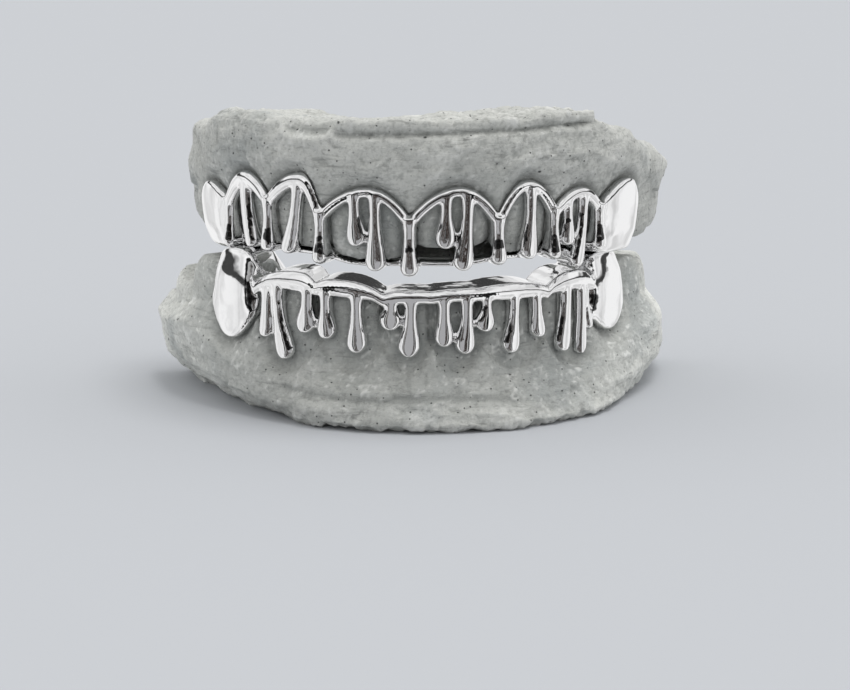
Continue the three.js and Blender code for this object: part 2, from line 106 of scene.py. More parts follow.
UPPER_TEETH = rows(
    "name width apex neck side edge seam peak cut root crest worn bar",
    ("molar_left", 1.07, 0.5, 0.64, 0.5, 0.02, 0.05, 0.5, 0.7, 0.84, 0, 0, 0),
    ("premolar_left", 0.74, 0.5, 0.7, 0.52, 0.03, 0.09, 0.5, 0.55, 0.72, 0, 0, 0),
    ("cap_left", 0.73, 0.45, 0.84, 0.66, 0.1, 0.16, 0.5, 0.5, 0.7, 0, 0, 0),
    ("canine_left", 0.7, 0.47, 1.08, 0.77, 0.15, 0.18, 0.5, 0.22, 0.62, 1.5, 0, 0),
    ("lateral_left", 0.71, 0.66, 1.16, 0.66, 0.15, 0.15, 0.5, 0.16, 0.54, 1.4, 0, 0),
    ("central_left", 1.02, 0.56, 1.03, 0.63, 0.06, 0.09, 0.5, 0.16, 0.56, 1.0, 0, 0),
    ("central_right", 0.98, 0.56, 1.05, 0.62, 0.07, 0.13, 0.5, 0.16, 0.56, 1.0, 0.15, 0),
    ("lateral_right", 0.69, 0.5, 1.09, 0.69, 0.13, 0.16, 0.5, 0.16, 0.54, 1.0, 0, 0),
    ("canine_right", 0.66, 0.55, 0.93, 0.65, 0.14, 0.16, 0.5, 0.22, 0.62, 1.1, 0, 0),
    ("cap_right", 0.8, 0.62, 0.95, 0.55, 0.1, 0.08, 0.5, 0.5, 0.7, 0, 0, 0),
    ("premolar_right", 0.74, 0.5, 0.74, 0.48, 0.0, 0.02, 0.5, 0.55, 0.72, 0, 0, 0),
    ("molar_right", 1.07, 0.5, 0.66, 0.45, 0.0, 0.0, 0.5, 0.7, 0.84, 0, 0, 0),
)
LOWER_TEETH = rows(
    "name width apex neck side edge seam peak cut root crest worn bar",
    ("molar_left", 1.4, 0.5, 0.6, 0.5, 0.3, 0.1, 0.5, 0.7, 0.84, 0, 0, 0),
    ("premolar_left", 0.97, 0.5, 0.4, 0.25, -0.26, -0.2, 0.6, 0.45, 0.7, 0, 0, 0),
    ("cap_left", 0.96, 0.5, 0.78, 0.35, -0.34, 0.02, 0.62, 0.2, 0.6, 0, 0, -0.1),
    ("canine_left", 1.03, 0.55, 1.04, 0.66, -0.22, -0.076, 0.74, 0.14, 0.56, 0, 0, -0.05),
    ("lateral_left", 0.97, 0.5, 1.02, 0.64, -0.15, 0.03, 0.3, 0.14, 0.5, 0, 0, 0.0),
    ("central_left", 0.69, 0.5, 0.98, 0.62, -0.015, -0.005, 0.5, 0.14, 0.48, 0, 0, 0.045),
    ("central_right", 0.71, 0.5, 0.98, 0.62, -0.03, -0.03, 0.5, 0.14, 0.48, 0, 0, 0.05),
    ("lateral_right", 1.06, 0.5, 1.0, 0.64, -0.057, 0.05, 0.35, 0.14, 0.5, 0, 0, 0.075),
    ("canine_right", 0.94, 0.5, 1.02, 0.5, -0.115, 0.04, 0.55, 0.14, 0.56, 0, 0, 0.06),
    ("cap_right", 1.0, 0.45, 0.78, 0.35, -0.19, -0.1, 0.3, 0.2, 0.6, 0, 0, 0.13),
    ("premolar_right", 0.94, 0.5, 0.6, 0.45, -0.1, 0.0, 0.5, 0.45, 0.7, 0, 0, 0),
    ("molar_right", 1.4, 0.5, 0.7, 0.6, 0.1, 0.1, 0.5, 0.7, 0.84, 0, 0, 0),
)
UPPER_DRIPS = rows(
    "tooth root start tip reach waist drop",
    ("canine_left", 0.47, 0.97, 0.6, 0.07, 1.25, 0.75),
    ("lateral_left", 0.6, 1.04, 0.42, 0.07, 1.0, 0.85),
    ("central_left", 0.4, 0.96, 0.42, 0.25, 1.0, 0.98),
    ("central_left", 0.63, 0.96, 0.635, -0.06, 1.0, 1.0),
    ("central_right", 0.41, 0.95, 0.4, 0.24, 1.0, 1.02),
    ("central_right", 0.65, 0.97, 0.6, -0.05, 1.05, 1.0),
    ("lateral_right", 0.56, 1.0, 0.53, 0.05, 0.95, 0.92),
    ("canine_right", 0.28, 0.8, 0.28, 0.17, 0.85, 0.75),
    ("canine_right", 0.62, 0.87, 0.48, -0.13, 0.9, 0.78),
)
LOWER_DRIPS = rows(
    "tooth root start tip reach waist drop",
    ("canine_left", 0.22, -0.06, 0.18, 0.67, 1.25, 0.82),
    ("canine_left", 0.38, -0.12, 0.49, 0.94, 1.0, 1.05),
    ("canine_left", 0.86, -0.1, 0.83, 0.54, 1.05, 1.05),
    ("lateral_left", 0.14, -0.06, 0.15, 0.6, 0.95, 0.95),
    ("lateral_left", 0.61, -0.06, 0.61, 0.77, 1.05, 1.0),
    ("central_left", 0.17, -0.02, 0.15, 0.44, 1.1, 1.08),
    ("central_left", 0.57, -0.02, 0.53, 0.81, 1.1, 1.1),
    ("central_right", 0.24, -0.02, 0.24, 0.68, 1.05, 0.95),
    ("central_right", 0.7, -0.02, 0.67, 0.79, 1.05, 1.0),
    ("lateral_right", 0.075, -0.02, 0.06, 0.5, 0.9, 1.0),
    ("lateral_right", 0.48, 0.0, 0.44, 0.83, 0.95, 0.95),
    ("lateral_right", 0.83, 0.0, 0.87, 0.66, 0.95, 0.86),
    ("canine_right", 0.41, -0.08, 0.36, 0.92, 1.15, 0.95),
    ("canine_right", 0.76, -0.08, 0.78, 1.04, 0.95, 0.76),
    ("canine_right", 0.91, 0.02, 0.98, 0.7, 0.6, 0.5),
)
UPPER_POSTS = rows(
    "tooth reach wide",
    ("cap_left", 0.02, 0.8),
    ("canine_left", 0.08, 0.95),
    ("lateral_left", 0.01, 0.95),
    ("central_left", -0.09, 1.1),
    ("central_right", 0.03, 1.05),
    ("lateral_right", 0.03, 0.85),
    ("canine_right", 0.06, 0.95),
)
UPPER_RIM = rows(
    "at gum bulge foot height sink tuck",
    (-1.0, 0.1, 0.0, -0.1, 0.66, 0.04, 0.06),
    (-0.72, 0.1, 0.0, 0.0, 0.77, 0.05, 0.03),
    (-0.52, 0.4, 0.6, 0.4, 0.95, 0.09, 0.0),
    (-0.2, 0.5, 0.8, 0.6, 0.97, 0.1, 0.0),
    (0.12, 0.6, 0.9, 0.7, 0.99, 0.06, 0.0),
    (0.42, 0.5, 0.8, 0.6, 1.0, 0.05, 0.0),
    (0.56, 0.4, 0.7, 0.4, 0.84, 0.04, 0.0),
    (0.7, 0.3, 0.5, 0.1, 0.67, 0.03, 0.03),
    (1.0, 0.3, 0.3, -0.2, 0.48, 0.02, 0.14),
)
LOWER_RIM = rows(
    "at gum bulge foot height sink tuck",
    (-1.0, 0.3, 0.2, -0.3, 1, 0, 0.06),
    (-0.7, 0.32, 0.2, -0.5, 1, 0, 0.0),
    (-0.45, 0.3, 0.4, -0.1, 1, 0, 0.0),
    (-0.2, 0.3, 0.75, 0.8, 1, 0, 0.0),
    (0.1, 0.3, 0.75, 1.0, 1, 0, 0.0),
    (0.35, 0.3, 0.75, 0.95, 1, 0, 0.0),
    (0.6, 0.35, 0.6, 0.4, 1, 0, -0.02),
    (0.75, 0.3, 0.42, 0.0, 1, 0, -0.12),
    (1.0, 0.3, 0.35, -0.2, 1, 0, -0.12),
)
UPPER_MARKS = rows(
    "tooth from to high end sag rise width",
    ("central_left", 0.25, 3.4, 0.9, 0.93, 0.015, -2.2, 0.45),
    ("central_left", 0.25, 3.4, 0.95, 0.975, 0.015, 1.5, 0.5),
    ("central_left", -0.35, 0.05, 0.92, 0.93, -0.01, -1.4, 0.75),
    ("central_left", -0.45, 0.15, 0.87, 0.87, -0.03, 0.7, 0.4),
    ("cap_left", 0.2, 1.4, 0.86, 0.97, 0.05, -0.8, 0.5),
    ("lateral_right", 0.1, 0.9, 0.66, 0.72, 0.04, 0.6, 0.35),
    ("canine_right", 0.2, 1.3, 0.72, 0.6, 0.05, 0.6, 0.4),
)
LOWER_MARKS = rows(
    "tooth from to high end sag rise width",
    ("canine_left", 0.1, 0.95, 0.52, 0.52, 0.13, 0.5, 0.4),
    ("lateral_left", 0.1, 0.95, 0.5, 0.5, 0.12, 0.5, 0.4),
    ("central_left", 0.1, 0.95, 0.5, 0.5, 0.12, 0.4, 0.4),
    ("central_right", 0.05, 0.95, 0.52, 0.5, 0.14, 0.5, 0.4),
    ("lateral_right", 0.05, 0.95, 0.48, 0.5, 0.12, 0.5, 0.4),
    ("canine_right", 0.05, 0.95, 0.52, 0.54, 0.13, 0.5, 0.4),
    ("canine_left", 0.6, 2.4, 0.72, 0.75, 0.02, -0.6, 0.4),
    ("canine_left", 0.8, 2.2, 0.69, 0.71, 0.02, 0.7, 0.4),
    ("central_left", 0.3, 2.6, 0.74, 0.78, -0.01, -0.5, 0.5),
    ("central_right", 0.1, 1.7, 0.86, 0.95, -0.03, 0.9, 0.4),
    ("central_left", -0.8, 0.6, 0.96, 0.9, -0.02, 0.9, 0.5),
    ("lateral_right", 0.6, 1.9, 0.78, 0.7, 0.01, 0.7, 0.35),
)


def mix(a, b, share):
    return a + (b - a) * share


class Jaw:
    """One dental arch in a flat space of its own.

    s runs along the arch from the midline, w outwards from the tooth faces, h from the bite to the gum.
    """

    def __init__(self, teeth, tooth_width, midline, half_width, depth, turn, left, back, bite, gumward,
                 crown, height, flare, rim, drips, posts, bar):
        self.half_width = half_width
        self.depth = depth
        self.turn = math.radians(turn)
        self.left = left
        self.back = back
        self.bite = bite
        self.gumward = gumward
        self.crown = crown
        self.height = height
        self.flare = flare
        self.rim = rim
        self.drips = drips
        self.posts = posts
        self.bar = bar

        self.angles = [ARC_END * i / ARC_STEPS for i in range(ARC_STEPS + 1)]
        self.lengths = [0.0]
        for a, b in zip(self.angles, self.angles[1:]):
            middle = (a + b) / 2
            speed = math.hypot(half_width * math.cos(middle), depth * math.sin(middle))
            self.lengths.append(self.lengths[-1] + speed * (b - a))

        start = midline - sum(row["width"] * tooth_width for row in teeth[: len(teeth) // 2])
        self.teeth = []
        for i, row in enumerate(teeth):
            width = row["width"] * tooth_width
            last = teeth[max(i - 1, 0)]
            self.teeth.append(dict(row, wide=width, start=start, before=last["side"], joined=last["seam"],
                                   centre=start + width / 2))
            start += width
        self.first = self.teeth[0]["start"]
        self.last = start

    def angle(self, s):
        """The angle round the ellipse at a length of s along it."""
        length = min(abs(s), self.lengths[-1])
        low = 0
        high = len(self.lengths) - 1
        while high - low > 1:
            middle = (low + high) // 2
            if self.lengths[middle] <= length:
                low = middle
            else:
                high = middle
        share = (length - self.lengths[low]) / (self.lengths[high] - self.lengths[low])
        return math.copysign(mix(self.angles[low], self.angles[high], share), s)

    def place(self, s, w, h):
        """The point in space, in millimetres."""
        angle = self.angle(s)
        out = Vector((self.depth * math.sin(angle), -self.half_width * math.cos(angle))).normalized()
        x = self.half_width * math.sin(angle) + out.x * w
        y = self.depth * (1 - math.cos(angle)) + out.y * w - TURN_CENTRE
        cosine = math.cos(self.turn)
        sine = math.sin(self.turn)
        return Vector((
            x * cosine - y * sine - self.left + ORIGIN_X,
            x * sine + y * cosine + TURN_CENTRE + self.back + ORIGIN_Y,
            self.bite + self.gumward * h,
        ))

    def tooth(self, name):
        return next(row for row in self.teeth if row["name"] == name)

    def at(self, s):
        """The tooth at s, and how far along that tooth s lies."""
        for row in self.teeth:
            if s <= row["start"] + row["wide"]:
                return row, max(0.0, (s - row["start"]) / row["wide"])
        return self.teeth[-1], 1.0

    def along(self, s, name):
        """A column of the teeth table, blended from the middle of one tooth to the next."""
        if s <= self.teeth[0]["centre"]:
            return self.teeth[0][name]
        for a, b in zip(self.teeth, self.teeth[1:]):
            if s <= b["centre"]:
                return mix(a[name], b[name], (s - a["centre"]) / (b["centre"] - a["centre"]))
        return self.teeth[-1][name]

    def gum_line(self, tooth, u):
        apex = tooth["apex"]
        out = 1 - u / apex if u < apex else (u - apex) / (1 - apex)
        side = tooth["before"] if u < apex else tooth["side"]
        return self.crown * mix(tooth["neck"], side, out * out)

    def edge_line(self, tooth, u):
        peak = tooth["peak"]
        out = 1 - u / peak if u < peak else (u - peak) / (1 - peak)
        seam = tooth["joined"] if u < peak else tooth["seam"]
        return self.crown * mix(tooth["edge"], seam, out ** 2.5)

    def rim_at(self, s):
        share = 2 * (s - self.first) / (self.last - self.first) - 1
        for a, b in zip(self.rim, self.rim[1:]):
            if share <= b["at"] + 1e-6:
                part = (share - a["at"]) / (b["at"] - a["at"])
                part = part * part * (3 - 2 * part)
                return {key: mix(a[key], b[key], part) for key in a}
        return self.rim[-1]


UPPER = Jaw(
    teeth=UPPER_TEETH,
    tooth_width=9.0,
    midline=0.2,
    half_width=25.9,
    depth=31.6,
    turn=-4.5,
    left=0,
    back=0,
    bite=BITE_UPPER,
    gumward=1,
    crown=CROWN_UPPER,
    height=14.8,
    flare=1.6,
    rim=UPPER_RIM,
    drips=UPPER_DRIPS,
    posts=UPPER_POSTS,
    bar=False,
)
LOWER = Jaw(
    teeth=LOWER_TEETH,
    tooth_width=7.0,
    midline=-0.2,
    half_width=24.8,
    depth=29.0,
    turn=7.2,
    left=1.9,
    back=1.2,
    bite=BITE_LOWER,
    gumward=-1,
    crown=CROWN_LOWER,
    height=13.1,
    flare=4.6,
    rim=LOWER_RIM,
    drips=LOWER_DRIPS,
    posts=[],
    bar=True,
)


# Making meshes.
def offset(outline, distance):
    """The closed outline of (w, h) pairs, moved outwards."""
    count = len(outline)
    area = 0
    for i, (x, y) in enumerate(outline):
        next_x, next_y = outline[(i + 1) % count]
        area += x * next_y - next_x * y
    way = math.copysign(1, area)
    moved = []
    for i, (x, y) in enumerate(outline):
        ax, ay = outline[i - 1]
        bx, by = outline[(i + 1) % count]
        a = Vector((way * (y - ay), -way * (x - ax))).normalized()
        b = Vector((way * (by - y), -way * (bx - x))).normalized()
        spread = distance / (1 + a.dot(b))
        moved.append((x + (a.x + b.x) * spread, y + (a.y + b.y) * spread))
    return moved


def loft(bm, jaw, rings):
    """Extrudes a ring of vertices from station to station, and closes both ends.

    A ring is a list of (s, w, h).
    """
    made = bmesh.ops.create_circle(bm, segments=len(rings[0]), radius=1.0, cap_ends=False)["verts"]
    for v, point in zip(made, rings[0]):
        v.co = jaw.place(*point)
    first_edges = list(dict.fromkeys(edge for v in made for edge in v.link_edges))
    edges = first_edges
    order = {v: i for i, v in enumerate(made)}
    for ring in rings[1:]:
        grown = bmesh.ops.extrude_edge_only(bm, edges=edges)["geom"]
        fresh = [g for g in grown if isinstance(g, bmesh.types.BMVert)]
        edges = [g for g in grown if isinstance(g, bmesh.types.BMEdge) and all(v in fresh for v in g.verts)]
        next_order = {}
        for v in fresh:
            old = next(e.other_vert(v) for e in v.link_edges if e.other_vert(v) in order)
            next_order[v] = order[old]
            v.co = jaw.place(*ring[order[old]])
        order = next_order
    for border in (first_edges, edges):
        bmesh.ops.holes_fill(bm, edges=border, sides=0)


def mesh_object(name, bm):
    bmesh.ops.recalc_face_normals(bm, faces=bm.faces)
    mesh = bpy.data.meshes.new(name)
    bm.to_mesh(mesh)
    bm.free()
    piece = bpy.data.objects.new(name, mesh)
    bpy.context.scene.collection.objects.link(piece)
    return piece


def bake(piece):
    """Applies the piece's modifiers."""
    graph = bpy.context.evaluated_depsgraph_get()
    mesh = bpy.data.meshes.new_from_object(piece.evaluated_get(graph))
    old = piece.data
    piece.modifiers.clear()
    piece.data = mesh
    mesh.name = piece.name
    bpy.data.meshes.remove(old)


def remesh(piece, size, rounds):
    """Fuses overlapping closed shells into one skin and smooths it."""
    skin = piece.modifiers.new("skin", "REMESH")
    skin.mode = "VOXEL"
    skin.voxel_size = size
    skin.use_smooth_shade = True
    soften = piece.modifiers.new("soften", "SMOOTH")
    soften.factor = SMOOTHING
    soften.iterations = rounds
    bake(piece)


def to_metres(piece):
    piece.data.transform(Matrix.Scale(MM, 4))
    piece.data.update()


# Stone.
# Places in the list of outline points below.
NECK = 5
FRONT_EDGE = 8
BACK_NECK = 12

# Millimetres of a mark of rise 1, of the undercut at the rim, and of its height.
RELIEF = 0.3
UNDERCUT = 0.9
RIM_LIFT = 0.7

# Depth of the slots between the stone teeth beside their grooves, and the step between points of a mark.
SLOT = 1.2
MARK_STEP = 0.3

# How far the dark stain and painted shade, and the grey darkening, reach from the metal, and crumbling from
# the rim.
STAIN_AND_SHADE_REACH = 0.75
DARKENING_REACH = 7.0
CRUMBLE_REACH = 1.1

# The strength of the grey darkening near the metal on each jaw.
DARKENING_LOWER = 0.5
DARKENING_UPPER = 0.12

# Lumps in the stone: how many to a millimetre, where in the noise, falloff and octaves.
COARSE = (0.2, (0, 0, 0), 1.0, 3)
MIDDLE = (0.75, (3, 9, 1), 0.9, 3)
FINE = (2.4, (7, 3, 5), 0.6, 2)

# Stations across each tooth, as shares of its width.
ACROSS = [0, 0.03, 0.08, 0.16, 0.26, 0.38, 0.5, 0.62, 0.74, 0.84, 0.92, 0.97]


def outline_at(jaw, tooth, u, stone, slot=0.0):
    """Outline of a cast across the arch: outer wall, gum, tooth from neck to back, inner wall."""
    s = tooth["start"] + u * tooth["wide"]
    rim = jaw.rim_at(s)
    side = abs(2 * u - 1) ** 5
    groove = GROOVE * side + slot * abs(2 * u - 1) ** 14
    gum = jaw.gum_line(tooth, u)
    edge = jaw.edge_line(tooth, u) + stone * (tooth["worn"] * jaw.crown + EDGE_NOTCH * side)
    cut = jaw.along(s, "cut") * RIDGE
    root = jaw.along(s, "root") * RIDGE
    flat = rim["height"] * jaw.height
    behind = flat - rim["sink"] * jaw.height
    back_neck = mix(edge, gum, 0.8)
    level = jaw.along(s, "neck") * jaw.crown + GUM_ROLL
    outline = [
        (rim["foot"] * jaw.flare - UNDERCUT, flat),
        (rim["foot"] * jaw.flare, flat - RIM_LIFT),
        (rim["bulge"] * jaw.flare, mix(level, flat, 0.6)),
        (GUM_ROLL + rim["gum"] * jaw.flare, mix(level, flat, 0.15)),
        (GUM_ROLL, gum + GUM_ROLL),
        (-0.6 * groove, gum),
        (-groove, mix(edge, gum, 0.55)),
        (-groove - 0.3 * EDGE_TAPER, mix(edge, gum, 0.22)),
        (-groove - EDGE_TAPER, edge),
        (-EDGE_TAPER - cut, edge),
        (groove * 0.5 - EDGE_TAPER - mix(cut, root, 0.4), mix(edge, back_neck, 0.4)),
        (groove * 0.5 - mix(cut, root, 0.9), mix(edge, back_neck, 0.8)),
        (-root, back_neck),
        (-RIDGE, mix(back_neck, behind, 0.35)),
        (-RIDGE, behind),
    ]
    return [(w - rim["tuck"] * RIDGE, h) for w, h in outline]


def stations(teeth):
    spots = [(tooth, u) for tooth in teeth for u in ACROSS]
    return spots + [(teeth[-1], 1.0)]


def ring(tooth, u, outline):
    s = tooth["start"] + u * tooth["wide"]
    return [(s, w, h) for w, h in outline]


def cast_shell(bm, jaw, grow, slot):
    rings = []
    for tooth, u in stations(jaw.teeth):
        outline = outline_at(jaw, tooth, u, 1, slot)
        rings.append(ring(tooth, u, offset(outline, grow) if grow else outline))
    loft(bm, jaw, rings)


# Metal.
# One side of a strand, from its root in the stone to its crest: place from the middle, share of its rise.
PROFILE_SIDE = [(1, None), (1, 0.25), (0.95, 0.52), (0.8, 0.76), (0.58, 0.91), (0.3, 0.985)]
PROFILE = [(-aside, rise) for aside, rise in PROFILE_SIDE] + [(0, 1.0)] + PROFILE_SIDE[::-1]
STRAND_BED = -0.1

# The rounded face of the biting bar: shares of the strands' height, and of the way down from its crest.
BAR_FACE = ((0.78, 1), (1.02, 0.72), (1.02, 0.45), (0.72, 0.12))
FRAME_STEPS = 24
PATH_STEPS = 5


def smooth_path(points):
    """A smooth curve through (s, h, half its width) points."""
    fine = []
    for i in range(len(points) - 1):
        a, b = points[max(i - 1, 0)], points[i]
        c, d = points[i + 1], points[min(i + 2, len(points) - 1)]
        for j in range(PATH_STEPS):
            t = j / PATH_STEPS
            fine.append(tuple(
                0.5 * (2 * b[k] + (c[k] - a[k]) * t + (2 * a[k] - 5 * b[k] + 4 * c[k] - d[k]) * t * t
                       + (3 * b[k] - a[k] - 3 * c[k] + d[k]) * t ** 3) for k in range(3)))
    return fine + [tuple(points[-1])]


def strand(bm, jaw, path, proud=PROUD):
    """A round-backed strand along a path of (s, h, half its width)."""
    rings = []
    for i, (s, h, half) in enumerate(path):
        a, b = path[max(i - 1, 0)], path[min(i + 1, len(path) - 1)]
        length = math.hypot(b[0] - a[0], b[1] - a[1])
        across_s = (b[1] - a[1]) / length
        across_h = -(b[0] - a[0]) / length
        top = min(proud, CLEARANCE + half * 1.3)
        points = []
        for aside, rise in PROFILE:
            w = -ROOT if rise is None else mix(STRAND_BED, top, rise)
            points.append((s + across_s * aside * half, w, h + across_h * aside * half))
        rings.append(points)
    loft(bm, jaw, rings)


def round_end(path):
    """The path with a rounded tip added at its end."""
    before_s, before_h, _ = path[-2]
    s, h, half = path[-1]
    length = math.hypot(s - before_s, h - before_h)
    ends = []
    for degrees in (15, 30, 45, 60, 72, 82):
        angle = math.radians(degrees)
        reach = half * math.sin(angle) / length
        ends.append((s + (s - before_s) * reach, h + (h - before_h) * reach, half * math.cos(angle)))
    return path + ends


def drip(bm, jaw, row):
    """A hanging drip: a neck that swells into a drop."""
    tooth = jaw.tooth(row["tooth"])
    waist = DRIP * row["waist"] / 2
    drop = DROP * row["drop"] / 2
    root_s = tooth["start"] + row["root"] * tooth["wide"]
    tip_s = tooth["start"] + row["tip"] * tooth["wide"]
    root_h = row["start"] * jaw.crown
    tip_h = row["reach"] * jaw.crown
    drop_h = tip_h + math.copysign(drop, root_h - tip_h)
    shape = [
        (0, waist * 1.3),
        (0.22, waist),
        (0.55, mix(waist, drop, 0.12)),
        (0.82, mix(waist, drop, 0.75)),
        (1, drop),
    ]
    path = [(mix(root_s, tip_s, share * share), mix(root_h, drop_h, share), half) for share, half in shape]
    strand(bm, jaw, round_end(smooth_path(path)))


def post(bm, jaw, row):
    """A post over the seam after a tooth, with a waist and a rounded foot."""
    tooth = jaw.tooth(row["tooth"])
    s = tooth["start"] + tooth["wide"]
    half = POST * row["wide"] / 2
    top = jaw.crown * tooth["side"] + 0.3 * half
    bottom = jaw.crown * row["reach"] + half
    shape = [(0, 1.25), (0.2, 1.05), (0.45, 0.95), (0.75, 1.1), (1, 1.35)]
    path = [(s, mix(top, bottom, share), half * wide) for share, wide in shape]
    strand(bm, jaw, round_end(smooth_path(path)), POST_PROUD)


def gum_frame(bm, jaw, tooth):
    """A frame along the gum line of one tooth, thickest at its crest."""
    path = []
    for i in range(FRAME_STEPS + 1):
        u = i / FRAME_STEPS
        side = tooth["before"] if u < tooth["apex"] else tooth["side"]
        rise = (jaw.gum_line(tooth, u) / jaw.crown - side) / (tooth["neck"] - side)
        half = FRAME / 2 * mix(1, tooth["crest"], rise)
        path.append((tooth["start"] + u * tooth["wide"], jaw.gum_line(tooth, u) - half, half))
    strand(bm, jaw, path)


def plate(bm, jaw, teeth, caps):
    """The plate behind the front teeth, with a lip or a folded bar over their edges."""
    spots = [(caps[0], 1 - CAP_LAP)] + stations(teeth) + [(caps[1], CAP_LAP)]
    rings = []
    for tooth, u in spots:
        last = outline_at(jaw, tooth, u, 0)
        inside = 0.6 * CLEARANCE if tooth["worn"] else -BACK_WALL
        inner = offset(last, inside)[FRONT_EDGE - 1:BACK_NECK]
        outer = offset(last, CLEARANCE + BACK_WALL)[FRONT_EDGE - 1:BACK_NECK]
        s = tooth["start"] + u * tooth["wide"]
        edge = last[FRONT_EDGE][1]
        if jaw.bar:
            fold = max(jaw.along(s, "bar") * jaw.crown, edge + BACK_WALL)
            inner[0] = (inner[1][0], fold)
            crest = outer[1][1]
            outer[:2] = [(PROUD * out, mix(crest, fold, down)) for out, down in BAR_FACE]
        else:
            inner[1] = (-EDGE_TAPER - CLEARANCE, inner[1][1])
            inner[0] = (-EDGE_TAPER - CLEARANCE / 2, mix(inner[1][1], edge - CLEARANCE, 0.5))
            outer[:2] = [(-EDGE_TAPER, edge - CLEARANCE), (-EDGE_TAPER, edge - CLEARANCE - LIP_WALL)]
        rings.append(ring(tooth, u, outer + inner[::-1]))
    loft(bm, jaw, rings)


def cap(bm, jaw, tooth):
    """A cap's outside, smoothed by itself into a pillow before it joins the rest."""
    rings = []
    for _, u in stations([tooth]):
        body = outline_at(jaw, tooth, u, 0)[NECK:BACK_NECK + 1]
        inset = mix(1, 0.88, abs(2 * u - 1) ** 3)
        outer = offset(body, (CLEARANCE + FACE_WALL + PILLOW) * inset)
        outer[0] = (outer[0][0], body[0][1])
        outer[-1] = (outer[-1][0], body[-1][1])
        rings.append(ring(tooth, u, outer))
    alone = bmesh.new()
    loft(alone, jaw, rings)
    pillow = mesh_object(tooth["name"], alone)
    remesh(pillow, CAP_SKIN, CAP_ROUNDS)
    bm.from_mesh(pillow.data)
    bpy.data.objects.remove(pillow)


def grill(jaw, name):
    """All the metal of one jaw in one skin, cut to the stone with a small clearance."""
    front = [t for t in jaw.teeth if t["name"].split("_")[0] in ("canine", "lateral", "central")]
    caps = [t for t in jaw.teeth if t["name"].startswith("cap")]
    bm = bmesh.new()
    plate(bm, jaw, front, caps)
    for tooth in caps:
        cap(bm, jaw, tooth)
    for tooth in front:
        if tooth["crest"]:
            gum_frame(bm, jaw, tooth)
    for row in jaw.posts:
        post(bm, jaw, row)
    for row in jaw.drips:
        drip(bm, jaw, row)
    piece = mesh_object(name, bm)
    remesh(piece, METAL_SKIN, METAL_ROUNDS)
    bm = bmesh.new()
    cast_shell(bm, jaw, CLEARANCE, 0)
    tool = mesh_object("stone_form", bm)
    cut = piece.modifiers.new("seat", "BOOLEAN")
    cut.operation = "DIFFERENCE"
    cut.solver = "MANIFOLD"
    cut.object = tool
    bake(piece)
    bpy.data.objects.remove(tool)
    piece.data.materials.clear()
    for face in piece.data.polygons:
        face.use_smooth = True
        face.material_index = 0
    piece.data.set_sharp_from_angle(angle=SHARP_EDGE)
    to_metres(piece)
    return piece


def smoothstep(low, high, x):
    share = min(max((x - low) / (high - low), 0.0), 1.0)
    return share * share * (3 - 2 * share)


def mark_points(jaw, mark):
    """Points close together along a ridge or crease on the outer wall of a cast."""
    tooth = jaw.tooth(mark["tooth"])
    first = tooth["start"] + mark["from"] * tooth["wide"]
    last = tooth["start"] + mark["to"] * tooth["wide"]
    bow = abs(mark["sag"]) * jaw.height
    count = max(3, round(abs(last - first) / MARK_STEP) + round(bow / (MARK_STEP / 2)))
    for i in range(count + 1):
        share = i / count
        s = mix(first, last, share)
        h = jaw.height * (mix(mark["high"], mark["end"], share) + mark["sag"] * 4 * share * (1 - share))
        row, u = jaw.at(s)
        wall = outline_at(jaw, row, u, 1)[:NECK + 1]
        for (aw, ah), (bw, bh) in zip(wall, wall[1:]):
            if bh <= h:
                break
        w = mix(aw, bw, min(max((h - ah) / (bh - ah), 0), 1))
        yield jaw.place(s, w, h)


def tree_of(points):
    points = list(points)
    tree = kdtree.KDTree(len(points))
    for i, p in enumerate(points):
        tree.insert(p, i)
    tree.balance()
    return tree


def closeness(tree, p, width):
    """1 on the points of the tree, and 0 well beyond the width."""
    return math.exp(-(tree.find(p)[2] / width) ** 2)


def lumps(p, kind):
    scale, shift, falloff, octaves = kind
    return noise.fractal(p * scale + Vector(shift), falloff, 2.0, octaves)


